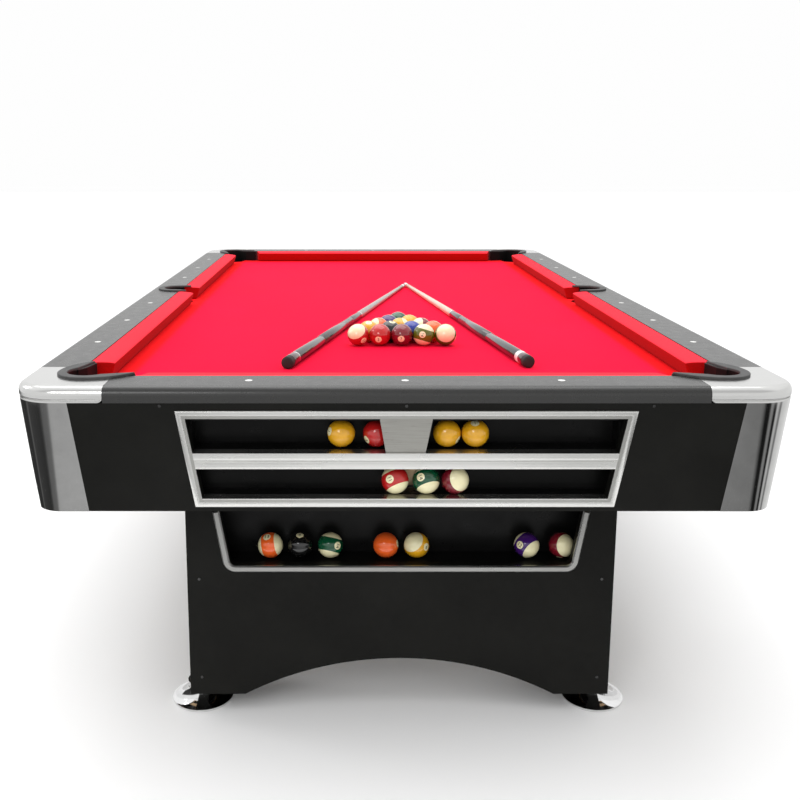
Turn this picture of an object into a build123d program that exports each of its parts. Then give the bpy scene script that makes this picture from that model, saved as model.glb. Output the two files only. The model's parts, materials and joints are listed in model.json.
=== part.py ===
from build123d import *
import math
import os

# A nine-foot pool table with six pockets, a ball return with three shelves at the foot end,
# and a pedestal under each end. X runs across the table and Y along it: the foot end is -Y.
# The origin is on the floor, under the middle of the table. Units are millimetres.

os.makedirs("parts", exist_ok=True)

# ---- playing surface and rails ----
PLAY_W = 1270.0           # between the cushion noses, across
PLAY_L = 2540.0           # between the cushion noses, along
RAIL_W = 155.0            # cushion nose to the rail's outer edge
CAP_W = 104.0             # the laminated part of that width; the cushion takes the rest
RAIL_TOP = 800.0
BAND = 32.0               # height of the rail's outer edge
CLOTH_Z = 756.0
CLOTH_T = 1.0
SLATE_T = 25.0
SLATE_EDGE = 55.0         # rail's outer edge to the slate's edge
CUSHION_GAP = 98.0        # a corner pocket takes this much of each nose line
CUSHION_CUT = 15.0        # a cushion's back reaches this much nearer to the pocket
RAIL_GAP = 0.8            # seam between a rail and a casting
SIDE_MOUTH = 130.0        # side pocket, between the cushion noses
SIDE_THROAT = 104.0       # side pocket, between the backs of the cushions
NOSE_H = 36.5             # cushion nose above the cloth
SIGHT_PITCH = PLAY_L / 8
SIGHT_R = 7.5
SIGHT_T = 1.9
SIGHT_IN = 61.3           # rail's outer edge to the sights' centres

# ---- pockets ----
CORNER_IN = 130.0         # corner pocket's centre from both outer edges
SIDE_IN = 91.0            # side pocket's centre from the outer edge
COLLAR_IN, COLLAR_OUT = 44.0, 64.0
COLLAR_T = 5.0
TAIL_R = 120.0            # outer edge of a corner collar's tail
THROAT_IN, THROAT_OUT = 46.0, 50.0
THROAT_BOTTOM = 729.0
DROP_R = 51.0             # hole in slate and cloth
SEAT_R = 58.0             # hole in rail and casting, under the collar
CASTING = 188.0           # a corner casting's reach along each edge
CASTING_T = 8.0
SHOULDER = 17.0           # radius of the rail's outer edge

# ---- cabinet ----
APRON_IN = 2.0            # apron's top edge, inside the rail's edge
APRON_TOP = RAIL_TOP - BAND
APRON_BOTTOM = 533.0
SLANT = 6.5               # degrees
CORNER_R = 88.0
PANEL_T = 25.0
COVER = 118.0             # a corner cover's width on each face
COVER_OUT, COVER_IN = 1.5, 0.5

# ---- ball return window in the apron ----
TRIM_LOW, TRIM_HIGH = 544.0, 752.0
TRIM_HALF = 427.0         # half its width at the bottom
TRIM_FLARE = 0.15625      # half width gained per height
TRIM_BAR = 17.0
TRIM_T = 3.0
SHELF_LOW, SHELF_HIGH = 628.0, 662.0
WINDOW_LOW, WINDOW_HIGH = 562.0, 736.0
LEDGE_T = 6.0
TRAY_BACK = 1340.0        # inner face of the trays' back, from the middle of the table
TRAY_HALF = 442.0
BOARD = 9.0
BALL_R = 28.575

# ---- pedestals ----
PED_W = 945.0
PED_IN = 156.0            # its face behind the rail's edge
PED_DEPTH = 165.0
PED_BOTTOM = 48.0
PED_BOARD = 18.0
PED_POST = 45.0
ARCH_HALF, ARCH_TOP = 349.0, 136.0
LOW_TRIM = 15.0           # width of the lower window's trim
LOW_Z, LOW_HIGH = 344.0, 486.0
LOW_HALF, LOW_FLARE = 388.0, 0.174
FOOT_X = PED_W / 2 - 17
FOOT_R = 70.0
STUD_R = 8.0

OUT_W = PLAY_W + 2 * RAIL_W
OUT_L = PLAY_L + 2 * RAIL_W
HALF_W, HALF_L = OUT_W / 2, OUT_L / 2
SLATE_TOP = CLOTH_Z - CLOTH_T
SLATE_BOTTOM = SLATE_TOP - SLATE_T
APRON_H = APRON_TOP - APRON_BOTTOM
TAN = math.tan(math.radians(SLANT))
PED_FACE = -HALF_L + PED_IN
PED_BACK = PED_FACE + PED_DEPTH


def corner(a, b):
    """A point a in from the left edge and b in from the foot edge."""
    return (-HALF_W + a, -HALF_L + b)


def face_y(z):
    """Y of the foot apron's outer face at height z."""
    return -HALF_L + APRON_IN + (APRON_TOP - z) * TAN


FACE_Z = (TRIM_LOW + TRIM_HIGH) / 2
FACE = Plane(
    origin=(0, face_y(FACE_Z), FACE_Z),
    x_dir=(1, 0, 0),
    z_dir=(0, -math.cos(math.radians(SLANT)), -math.sin(math.radians(SLANT))),
)
PED_PLANE = Plane(origin=(0, PED_FACE, 0), x_dir=(1, 0, 0), z_dir=(0, -1, 0))


def on_face(x, z):
    """A point of the slanted foot apron, in the coordinates of its plane."""
    return (x, (z - FACE_Z) / math.cos(math.radians(SLANT)))


def turned(part, right=False, head=False):
    """A foot left part, mirrored to the right side, the head end, or both."""
    if right:
        part = mirror(part, about=Plane.YZ)
    if head:
        part = mirror(part, about=Plane.XZ)
    return part


def save(part, name):
    part.label = name
    export_step(part, f"parts/{name}.step")


def save_four(part, name):
    """Writes a foot left part and its three mirror images."""
    for end, head in (("foot", False), ("head", True)):
        for side, right in (("left", False), ("right", True)):
            save(turned(part, right, head), f"{name}_{end}_{side}")


def block(x, y, z):
    """A box between two values on each axis."""
    with BuildPart() as made:
        with BuildSketch(Plane.XY.offset(z[0])):
            with Locations(((x[0] + x[1]) / 2, (y[0] + y[1]) / 2)):
                Rectangle(x[1] - x[0], y[1] - y[0])
        extrude(amount=z[1] - z[0])
    return made.part


def column(centre, radius, z):
    """An upright cylinder between two heights."""
    with BuildPart() as made:
        with BuildSketch(Plane.XY.offset(z[0])):
            with Locations(centre):
                Circle(radius)
        extrude(amount=z[1] - z[0])
    return made.part


# ---- pockets: what the slate, the cloth and the rails leave out ----
CORNER_AT = corner(CORNER_IN, CORNER_IN)
SIDE_AT = (-HALF_W + SIDE_IN, 0)


def drop_holes(z):
    """Holes for the six pockets, each open to the edge of the slate."""
    reach = 2 * CORNER_IN
    with BuildPart() as made:
        with BuildSketch(Plane.XY.offset(z[0])):
            with Locations(CORNER_AT, SIDE_AT):
                Circle(DROP_R)
            with Locations(Location((*CORNER_AT, 0), (0, 0, 45))):
                Rectangle(reach, 2 * DROP_R, align=(Align.MAX, Align.CENTER))
            with Locations(SIDE_AT):
                Rectangle(reach, 2 * DROP_R, align=(Align.MAX, Align.CENTER))
            mirror(about=Plane.XZ)
            mirror(about=Plane.YZ)
        extrude(amount=z[1] - z[0])
    return made.part


def bed(z, y):
    """The bed between two heights and two places along the table, with its pocket holes."""
    with BuildPart() as made:
        add(block((-HALF_W + SLATE_EDGE, HALF_W - SLATE_EDGE), y, z))
        add(drop_holes((z[0] - 1, z[1] + 1)), mode=Mode.SUBTRACT)
    return made.part


def make_bed():
    slate_z = (SLATE_BOTTOM, SLATE_TOP)
    end, third = HALF_L - SLATE_EDGE, (OUT_L - 2 * SLATE_EDGE) / 6
    save(bed(slate_z, (-end, -third)), "slate_foot")
    save(bed(slate_z, (-third, third)), "slate_centre")
    save(bed(slate_z, (third, end)), "slate_head")
    save(bed((SLATE_TOP, CLOTH_Z), (-end, end)), "bed_cloth")


# ---- rails ----
def rail(plane, outer, length):
    """A wooden rail: a rounded outer edge over the apron, and a foot that stands on the bed."""
    with BuildPart() as made:
        with BuildSketch(plane) as section:
            with BuildLine():
                Polyline(
                    (outer, APRON_TOP), (outer, RAIL_TOP), (outer + CAP_W, RAIL_TOP),
                    (outer + CAP_W, CLOTH_Z), (outer + SLATE_EDGE, CLOTH_Z),
                    (outer + SLATE_EDGE, APRON_TOP), close=True,
                )
            make_face()
            edge = section.vertices().filter_by_position(Axis.X, outer - 1, outer + 1)
            fillet(edge.sort_by(Axis.Y)[-1], SHOULDER)
            fillet(edge.sort_by(Axis.Y)[0], BAND * 0.125)
        extrude(amount=length / 2, both=True)
    return made.part


def sight_points():
    """The sights' centres: two rows along the sides, and one across each end."""
    x, y = HALF_W - SIGHT_IN, HALF_L - SIGHT_IN
    sides = [(s * x, k * SIGHT_PITCH) for s in (-1, 1) for k in (-3, -2, -1, 1, 2, 3)]
    ends = [(k * SIGHT_PITCH, s * y) for s in (-1, 1) for k in (-1, 0, 1)]
    return sides + ends


def sights(z):
    with BuildPart() as made:
        with BuildSketch(Plane.XY.offset(z[0])):
            with Locations(sight_points()):
                Circle(SIGHT_R)
        extrude(amount=z[1] - z[0])
    return made.part


def make_rails():
    recess = sights((RAIL_TOP - SIGHT_T, RAIL_TOP + 1))
    with BuildPart() as side:
        add(rail(Plane.XZ, -HALF_W, OUT_L - 2 * (CASTING + RAIL_GAP)))
        add(column(SIDE_AT, SEAT_R, (CLOTH_Z - 1, RAIL_TOP + 1)), mode=Mode.SUBTRACT)
        add(recess, mode=Mode.SUBTRACT)
    with BuildPart() as end:
        add(rail(Plane.YZ, -HALF_L, OUT_W - 2 * (CASTING + RAIL_GAP)))
        add(recess, mode=Mode.SUBTRACT)
    save(side.part, "side_rail_left")
    save(turned(side.part, right=True), "side_rail_right")
    save(end.part, "end_rail_foot")
    save(turned(end.part, head=True), "end_rail_head")
    save(sights((RAIL_TOP - SIGHT_T, RAIL_TOP + 0.3)), "rail_sights")


# ---- cushions ----
def cushion(plane, outer, length, outline):
    """A rubber cushion behind its cloth: a slanted face under the nose, cut to its outline."""
    back, nose = outer + CAP_W, outer + RAIL_W
    nose_z = CLOTH_Z + NOSE_H
    with BuildPart() as made:
        with BuildSketch(plane):
            with BuildLine():
                Polyline(
                    (back, CLOTH_Z + 0.3), (back, RAIL_TOP - 0.5), (nose - 5, RAIL_TOP - 2),
                    (nose, nose_z + 2), (nose, nose_z - 2), (nose - 3, nose_z - 9),
                    (nose - 11, CLOTH_Z + 0.3), close=True,
                )
            make_face()
        extrude(amount=length, both=True)
        with BuildSketch(Plane.XY.offset(CLOTH_Z - 1)):
            Polygon(*outline, align=None)
        extrude(amount=RAIL_TOP - CLOTH_Z + 2, mode=Mode.INTERSECT)
    return made.part


def make_cushions():
    start = RAIL_W + CUSHION_GAP
    depth = RAIL_W - CAP_W
    margin = 10.0
    # The ends are cut at a slight angle, wider at the pocket's mouth.
    slope = CUSHION_CUT * margin / depth
    splay = (SIDE_MOUTH - SIDE_THROAT) / 2 * margin / depth
    side = [
        corner(CAP_W - margin, start - CUSHION_CUT - slope),
        corner(RAIL_W + margin, start + slope),
        (-PLAY_W / 2 + margin, -SIDE_MOUTH / 2 - splay),
        (-PLAY_W / 2 - depth - margin, -SIDE_THROAT / 2 + splay),
    ]
    made = cushion(Plane.XZ, -HALF_W, HALF_L, side)
    for end, head in (("foot", False), ("head", True)):
        for name, right in (("left", False), ("right", True)):
            save(turned(made, right, head), f"cushion_{name}_{end}")
    left = [
        corner(start - CUSHION_CUT - slope, CAP_W - margin),
        corner(start + slope, RAIL_W + margin),
    ]
    right = [(-x, y) for x, y in reversed(left)]
    made = cushion(Plane.YZ, -HALF_L, HALF_W, left + right)
    save(made, "cushion_foot")
    save(turned(made, head=True), "cushion_head")


# ---- corner castings ----
def rounded_corner(inset, z, reach=CASTING):
    """The foot left corner of the table's outline, inset from its edge."""
    with BuildPart() as made:
        with BuildSketch(Plane.XY.offset(z[0])):
            RectangleRounded(OUT_W - 2 * inset, OUT_L - 2 * inset, CORNER_R - inset)
            with Locations(corner(0, 0)):
                Rectangle(2 * reach, 2 * reach, mode=Mode.INTERSECT)
        extrude(amount=z[1] - z[0])
    return made.part


def casting_end(plane):
    """What is taken off a casting's end, to round the lower corner of its outer face."""
    half = HALF_W if plane == Plane.XZ else HALF_L
    radius, end = 11.0, CASTING - half
    with BuildPart() as made:
        with BuildSketch(plane):
            with Locations((end - radius, APRON_TOP)):
                Rectangle(radius + 1, radius, align=(Align.MIN, Align.MIN))
            with Locations((end - radius, APRON_TOP + radius)):
                Circle(radius, mode=Mode.SUBTRACT)
        extrude(amount=2 * HALF_L, both=True)
        reach = block((-HALF_W, 0), (-HALF_L, -HALF_L + 40), (APRON_TOP, RAIL_TOP))
        if plane == Plane.YZ:
            reach = block((-HALF_W, -HALF_W + 40), (-HALF_L, 0), (APRON_TOP, RAIL_TOP))
        add(reach, mode=Mode.INTERSECT)
    return made.part


def make_castings():
    bead_top = APRON_TOP + 6
    inward = Axis((0, 0, 0), (1, 1, 0))
    with BuildPart() as casting:
        add(rounded_corner(0, (bead_top, RAIL_TOP)))
        outer = casting.faces().sort_by(Axis.Z)[-1].edges().sort_by(inward)[:3]
        fillet(outer, SHOULDER)
        outer = casting.faces().sort_by(Axis.Z)[0].edges().sort_by(inward)[:3]
        fillet(outer, 2)
        add(rounded_corner(
            CASTING_T, (bead_top - 1, RAIL_TOP - CASTING_T), CASTING - CASTING_T,
        ), mode=Mode.SUBTRACT)
        # A narrow bead runs under the casting, past a groove, and closes on the corner cover.
        add(rounded_corner(5, (APRON_TOP + 3, bead_top)))
        add(rounded_corner(1.5, (APRON_TOP, APRON_TOP + 3.5)))
        add(rounded_corner(9, (APRON_TOP - 1, bead_top + 1), 2 * CASTING), mode=Mode.SUBTRACT)
        for plane in (Plane.XZ, Plane.YZ):
            add(casting_end(plane), mode=Mode.SUBTRACT)
        mouth = corner(CAP_W, CAP_W)
        add(block(
            (mouth[0], mouth[0] + CASTING), (mouth[1], mouth[1] + CASTING),
            (APRON_TOP - 1, RAIL_TOP + 1),
        ), mode=Mode.SUBTRACT)
        add(column(CORNER_AT, SEAT_R, (APRON_TOP - 1, RAIL_TOP + 1)), mode=Mode.SUBTRACT)
    save_four(casting.part, "corner_casting")


# ---- pocket liners ----
def arc_point(centre, radius, angle):
    angle = math.radians(angle)
    return (centre[0] + radius * math.cos(angle), centre[1] + radius * math.sin(angle))


def throat(centre, plane, turn, flap):
    """The curved wall that a ball drops past, and a flap on either side of the pocket's mouth.
    flap: the middle line of one, and the other is its mirror image across the pocket's axis."""
    top = RAIL_TOP - THROAT_BOTTOM
    across = THROAT_OUT - THROAT_IN
    with BuildPart() as made:
        with BuildSketch(plane.offset(-top)):
            with Locations(centre):
                Circle(THROAT_OUT)
                Circle(THROAT_IN, mode=Mode.SUBTRACT)
            with Locations(Location((*centre, 0), (0, 0, turn))):
                Rectangle(
                    THROAT_OUT, 2 * THROAT_OUT + 2, align=(Align.MIN, Align.CENTER),
                    mode=Mode.SUBTRACT,
                )
        extrude(amount=top)
        with BuildSketch(plane.offset(CLOTH_Z + 1 - RAIL_TOP)):
            with BuildLine() as line:
                Polyline(*flap)
            trace(line.line, line_width=across)
            axis = Plane(origin=(*centre, 0), x_dir=(0, 0, 1), z_dir=arc_point((0, 0), 1, turn + 90))
            mirror(about=axis)
        extrude(amount=RAIL_TOP - CLOTH_Z - 1)
    return made.part


def make_liners():
    # Corner collar: a ring whose two tails run out over the ends of the cushions.
    plane = Plane(origin=(*corner(0, 0), RAIL_TOP))
    centre = (CORNER_IN, CORNER_IN)
    side_step = TAIL_R - COLLAR_OUT
    tail_end = 34.4
    lower = (centre[0], centre[1] + side_step)
    upper = (centre[0] + side_step, centre[1])
    with BuildPart() as liner:
        with BuildSketch(plane):
            with BuildLine():
                CenterArc(lower, TAIL_R, -90, 90 - tail_end)
                CenterArc(centre, COLLAR_OUT, 180, 90)
                CenterArc(upper, TAIL_R, 90 + tail_end, 90 - tail_end)
                Line(arc_point(upper, TAIL_R, 90 + tail_end), arc_point(centre, COLLAR_IN, 135))
                CenterArc(centre, COLLAR_IN, 135, 180)
                Line(arc_point(centre, COLLAR_IN, -45), arc_point(lower, TAIL_R, -tail_end))
            make_face()
        extrude(amount=COLLAR_T)
        chamfer(liner.faces().sort_by(Axis.Z)[-1].edges(), 1.2)
        add(throat(centre, plane, 45, [(97, 163), (110, 186), (119.5, 230)]))
    save_four(liner.part, "corner_pocket_liner")

    plane = Plane(origin=(-HALF_W, 0, RAIL_TOP))
    centre = (SIDE_IN, 0)
    tip_x, tip_in, tip_out = CAP_W + 24, SIDE_THROAT / 2 + 3, SIDE_THROAT / 2 + 9
    with BuildPart() as liner:
        with BuildSketch(plane):
            with BuildLine():
                CenterArc(centre, COLLAR_OUT, 90, 180)
                Polyline(
                    (SIDE_IN, -COLLAR_OUT), (tip_x, -tip_out), (tip_x, -tip_in),
                    (SIDE_IN, -COLLAR_IN),
                )
                CenterArc(centre, COLLAR_IN, 90, 180)
                Polyline(
                    (SIDE_IN, COLLAR_IN), (tip_x, tip_in), (tip_x, tip_out),
                    (SIDE_IN, COLLAR_OUT),
                )
            make_face()
        extrude(amount=COLLAR_T)
        chamfer(liner.faces().sort_by(Axis.Z)[-1].edges(), 1.2)
        middle = (THROAT_IN + THROAT_OUT) / 2
        add(throat(centre, plane, 0, [(SIDE_IN, middle), (CAP_W - 1, middle)]))
    save(liner.part, "side_pocket_liner_left")
    save(turned(liner.part, right=True), "side_pocket_liner_right")


# ---- cabinet: slanted walls with rounded corners ----
def form(outset):
    """The cabinet's tapered outline, moved out from the apron's face."""
    inset = APRON_IN - outset
    with BuildPart() as made:
        with BuildSketch(Plane.XY.offset(APRON_TOP)):
            RectangleRounded(OUT_W - 2 * inset, OUT_L - 2 * inset, CORNER_R - inset)
        extrude(amount=-APRON_H, taper=SLANT)
    return made.part


def slab(width, length):
    """A tapered block that divides the cabinet's wall between its panels and its corners."""
    with BuildPart() as made:
        with BuildSketch(Plane.XY.offset(APRON_TOP)):
            Rectangle(width, length)
        extrude(amount=-APRON_H, taper=SLANT)
    return made.part


def wall(outset, inset, keep, width=None, length=None):
    """Part of the cabinet's wall, inside the box keep. With no width it is the corner's part."""
    side = slab(OUT_W + 200, OUT_L - 2 * COVER)
    end = slab(OUT_W - 2 * COVER, OUT_L + 200)
    with BuildPart() as made:
        add(form(outset))
        add(form(-inset), mode=Mode.SUBTRACT)
        add(keep, mode=Mode.INTERSECT)
        if width is None:
            add(side, mode=Mode.SUBTRACT)
            add(end, mode=Mode.SUBTRACT)
        else:
            add(slab(width, length), mode=Mode.INTERSECT)
    return made.part


TALL = (APRON_BOTTOM - 1, APRON_TOP + 1)
LEFT_HALF = block((-HALF_W, 0), (-HALF_L, HALF_L), TALL)
FOOT_HALF = block((-HALF_W, HALF_W), (-HALF_L, 0), TALL)
FOOT_LEFT = block((-HALF_W, 0), (-HALF_L, 0), TALL)
APRON_SCREWS = [on_face(x, APRON_TOP - 6) for x in (-489, 0, 489)]


def half_at(z):
    """Half the width of the return window's trim at height z."""
    return TRIM_HALF + (z - TRIM_LOW) * TRIM_FLARE


def trapezoid(low, high, inset=0.0):
    """Four corners, on the apron's plane, of a piece as wide as the window's trim."""
    return [
        on_face(sign * (half_at(z) - inset), z)
        for sign, z in ((-1, low), (1, low), (1, high), (-1, high))
    ]


def make_cabinet():
    panel = wall(0, PANEL_T, LEFT_HALF, OUT_W + 200, OUT_L - 2 * COVER)
    save(panel, "cabinet_side_left")
    save(turned(panel, right=True), "cabinet_side_right")
    panel = wall(0, PANEL_T, FOOT_HALF, OUT_W - 2 * COVER, OUT_L + 200)
    with BuildPart() as foot:
        add(panel)
        with BuildSketch(FACE):
            Polygon(*trapezoid(WINDOW_LOW - LEDGE_T, WINDOW_HIGH, TRIM_BAR), align=None)
        extrude(amount=-2 * PANEL_T, mode=Mode.SUBTRACT)
        with BuildSketch(FACE):
            with Locations(*APRON_SCREWS):
                Circle(1.5)
        extrude(amount=-12, mode=Mode.SUBTRACT)
    save(foot.part, "cabinet_end_foot")
    save(turned(panel, head=True), "cabinet_end_head")
    save_four(wall(COVER_OUT, COVER_IN, FOOT_LEFT), "corner_cover")

    post = wall(-COVER_IN, PANEL_T, FOOT_LEFT)
    beam_top = 630.0
    beam_x = (-736, 736)
    beam_z = (APRON_BOTTOM, beam_top)
    over_foot = (PED_FACE + 31, PED_BACK + 20)
    with BuildPart() as frame:
        for right in (False, True):
            for head in (False, True):
                add(turned(post, right, head))
        for y in (-600, 0, 600):
            add(block(beam_x, (y - 22.5, y + 22.5), beam_z))
        for head in (False, True):
            add(turned(block(beam_x, over_foot, beam_z), head=head))
        stringer = block((-602, -558), (over_foot[0], 1380), (beam_top + 0.2, SLATE_BOTTOM))
        for right in (False, True):
            add(turned(stringer, right))
    save(frame.part, "cabinet_frame")


# ---- ball return: tracks under the slate, and trays behind the windows ----
def gully():
    """A sloping trough under the left pockets, and the cross trough that it empties into."""
    wall_t, depth = 4.0, 48.0
    x0, x1 = -729.0, -631.0
    head, foot, centre = 664.0, 642.0, 600.0
    y_turn, y_front, y_head = -1242.0, -1326.0, 1345.0
    rise = depth + wall_t
    with BuildPart() as made:
        with BuildSketch(Plane.YZ.offset(x0)):
            Polygon(
                (y_turn, foot), (y_head, head), (y_head, head + rise), (y_turn, foot + rise),
                align=None,
            )
        extrude(amount=x1 - x0)
        with BuildSketch(Plane.XZ.offset(-y_turn)):
            Polygon(
                (x0, foot), (x1, foot), (0, centre), (0, centre + rise), (x1, foot + rise),
                (x0, foot + rise), align=None,
            )
        extrude(amount=y_turn - y_front)
        with BuildSketch(Plane.YZ.offset(x0 + wall_t)):
            Polygon(
                (y_front + wall_t, foot + wall_t), (y_turn, foot + wall_t),
                (y_head - wall_t, head + wall_t), (y_head - wall_t, head + 2 * rise),
                (y_front + wall_t, foot + 2 * rise), align=None,
            )
        extrude(amount=x1 - x0 - 2 * wall_t, mode=Mode.SUBTRACT)
        with BuildSketch(Plane.XZ.offset(-y_turn + wall_t)):
            Polygon(
                (x0 + wall_t, foot + wall_t), (x1, foot + wall_t), (1, centre + wall_t),
                (1, centre + 2 * rise), (x0 + wall_t, foot + 2 * rise), align=None,
            )
        extrude(amount=y_turn - y_front - 2 * wall_t, mode=Mode.SUBTRACT)
        # The outlet: both cross troughs end over the back of the middle tray.
        add(block((-40, 1), (y_front - 1, y_front + wall_t + 1), (centre + wall_t, centre + 60)),
            mode=Mode.SUBTRACT)
    return made.part


def tray(floor, ceiling, front, back, half, board=BOARD):
    """A shelf with a floor, a back and two ends, open at the front."""
    with BuildPart() as made:
        add(block((-half, half), (front, back + board), (floor - 12, ceiling)))
        add(block(
            (-half + board, half - board), (front - 1, back), (floor, ceiling + 1),
        ), mode=Mode.SUBTRACT)
    return made.part


UPPER_CEILING = 721.0
LOWER_FLOOR = LOW_Z + LOW_TRIM - 2
LOWER_BACK = PED_FACE + 80
BALL_LIFT = BALL_R + 0.3


def make_return():
    track = gully()
    save(track, "gully_track_left")
    save(turned(track, right=True), "gully_track_right")

    def inside(z):
        return face_y(z) + PANEL_T + 1

    with BuildPart() as upper:
        front = inside(SHELF_HIGH - 12)
        add(tray(SHELF_HIGH, UPPER_CEILING, front, -TRAY_BACK, TRAY_HALF))
        lid = (UPPER_CEILING, UPPER_CEILING + 8)
        add(block((-TRAY_HALF, TRAY_HALF), (front, -TRAY_BACK + BOARD), lid))
    save(upper.part, "upper_tray")
    with BuildPart() as middle:
        front = inside(WINDOW_LOW - 12)
        add(tray(WINDOW_LOW, SHELF_HIGH - 12.3, front, -TRAY_BACK, TRAY_HALF))
        add(block((-40, 40), (-TRAY_BACK - 1, -TRAY_BACK + BOARD + 1), (WINDOW_LOW, 640)),
            mode=Mode.SUBTRACT)
    save(middle.part, "middle_tray")
    front = PED_FACE + PED_BOARD + 0.3
    lower = tray(LOWER_FLOOR, 515, front, LOWER_BACK, 424)
    save(lower, "lower_tray")


# ---- window trims ----
def bar(points, start, amount):
    """One trim bar on the apron's plane."""
    with BuildPart() as made:
        with BuildSketch(FACE.offset(start)):
            Polygon(*points, align=None)
        extrude(amount=amount)
    return made.part


def above(floor):
    """What rises over a ledge's floor behind the apron's slanted face."""
    with BuildPart() as made:
        add(bar(trapezoid(floor - BOARD, floor + BOARD, TRIM_BAR), -PANEL_T, PANEL_T + TRIM_T))
        add(block((-HALF_W, HALF_W), (-HALF_L, 0), (floor, floor + BOARD)), mode=Mode.INTERSECT)
    return made.part


def make_window():
    outer = trapezoid(TRIM_LOW, TRIM_HIGH)
    inner = trapezoid(WINDOW_LOW, WINDOW_HIGH, TRIM_BAR)
    ledge = trapezoid(WINDOW_LOW - LEDGE_T, WINDOW_LOW, TRIM_BAR)
    shelf = trapezoid(SHELF_LOW, SHELF_HIGH, TRIM_BAR)
    rib = (SHELF_HIGH - SHELF_LOW) / 2 - 1.5
    with BuildPart() as trim:
        for i in range(4):
            j = (i + 1) % 4
            add(bar([outer[i], outer[j], inner[j], inner[i]], 0, TRIM_T))
        add(bar(ledge, -PANEL_T + 1, PANEL_T - 1))
        add(bar(shelf, -PANEL_T + 1, PANEL_T + 1))
        # Two raised ribs run the length of the middle shelf's edge.
        for low in (SHELF_LOW, SHELF_HIGH - rib):
            add(bar(trapezoid(low, low + rib, TRIM_BAR), 2, 2))
        # Balls roll on to both ledges, so these are level behind the slanted face.
        for floor in (WINDOW_LOW, SHELF_HIGH):
            add(above(floor), mode=Mode.SUBTRACT)
    save(trim.part, "window_trim")

    with BuildPart() as plate:
        with BuildSketch(FACE):
            low, high = SHELF_HIGH + 0.2, WINDOW_HIGH - 0.2
            Polygon(
                on_face(-40, low), on_face(40, low), on_face(53, high), on_face(-53, high),
                align=None,
            )
        extrude(amount=-4)
    save(plate.part, "centre_plate")


# ---- pedestals ----
def low_half(z):
    """Half the width of the lower window's trim at height z."""
    return LOW_HALF + (z - LOW_Z) * LOW_FLARE


PED_SCREWS = [(x, z) for x in (-446, 446) for z in (90, 326)]
STUD_TOP = 121.0
FOOT_Y = PED_FACE + 70


def board_with_arch(y):
    """A pedestal's broad board between its side boards, with the arch at its foot."""
    half = PED_W / 2 - PED_BOARD
    with BuildPart() as made:
        with BuildSketch(Plane(origin=(0, y, 0), x_dir=(1, 0, 0), z_dir=(0, -1, 0))):
            with BuildLine():
                ThreePointArc((-ARCH_HALF, PED_BOTTOM), (0, ARCH_TOP), (ARCH_HALF, PED_BOTTOM))
                Polyline(
                    (ARCH_HALF, PED_BOTTOM), (half, PED_BOTTOM), (half, APRON_BOTTOM),
                    (-half, APRON_BOTTOM), (-half, PED_BOTTOM), (-ARCH_HALF, PED_BOTTOM),
                )
            make_face()
        extrude(amount=-PED_BOARD)
    return made.part


def make_pedestals():
    face = board_with_arch(PED_FACE)
    inset = LOW_TRIM
    low, high = LOW_Z + inset, 500.0
    with BuildPart() as foot:
        add(face)
        with BuildSketch(PED_PLANE) as window:
            Polygon(
                (-low_half(low) + inset, low), (low_half(low) - inset, low),
                (low_half(high) - inset, high), (-low_half(high) + inset, high), align=None,
            )
            fillet(window.vertices().group_by(Axis.Y)[0], 14)
        extrude(amount=-2 * PED_BOARD, mode=Mode.SUBTRACT)
        with BuildSketch(PED_PLANE):
            with Locations(*PED_SCREWS):
                Circle(1.5)
        extrude(amount=-12, mode=Mode.SUBTRACT)
    save(foot.part, "pedestal_face_foot")
    save(turned(face, head=True), "pedestal_face_head")

    x_out, x_in = PED_W / 2, PED_W / 2 - PED_POST
    z = (PED_BOTTOM, APRON_BOTTOM)
    with BuildPart() as carcass:
        add(block((-x_out, -x_in), (PED_FACE, PED_BACK), z))
        for y in ((PED_FACE, PED_FACE + PED_BOARD), (PED_BACK - PED_BOARD, PED_BACK)):
            add(block((-x_out + PED_BOARD, -x_in), y, z), mode=Mode.SUBTRACT)
        bore = column((-FOOT_X, FOOT_Y), STUD_R + 0.15, (PED_BOTTOM - 1, STUD_TOP))
        add(bore, mode=Mode.SUBTRACT)
        add(turned(carcass.part, right=True))
        add(board_with_arch(PED_BACK - PED_BOARD))
    save(carcass.part, "pedestal_carcass_foot")
    save(turned(carcass.part, head=True), "pedestal_carcass_head")

    with BuildPart() as trim:
        with BuildSketch(PED_PLANE):
            with BuildLine():
                mid = inset / 2
                low = LOW_Z + mid
                FilletPolyline(
                    (-low_half(LOW_HIGH) + mid, LOW_HIGH), (-low_half(low) + mid, low),
                    (low_half(low) - mid, low), (low_half(LOW_HIGH) - mid, LOW_HIGH),
                    radius=21,
                )
            trace(line_width=LOW_TRIM)
        extrude(amount=7)
        chamfer(trim.faces().sort_by(Axis.Y)[0].edges(), 3)
    save(trim.part, "lower_window_trim")


def make_screws():
    head_r, head_t, shank = 3.2, 1.2, 10.0
    with BuildPart() as screws:
        for plane, points in ((FACE, APRON_SCREWS), (PED_PLANE, PED_SCREWS)):
            with BuildSketch(plane):
                with Locations(*points):
                    Circle(head_r)
            extrude(amount=head_t)
            with BuildSketch(plane):
                with Locations(*points):
                    Circle(1.5)
            extrude(amount=-shank)
    save(screws.part, "cabinet_screws")


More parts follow.
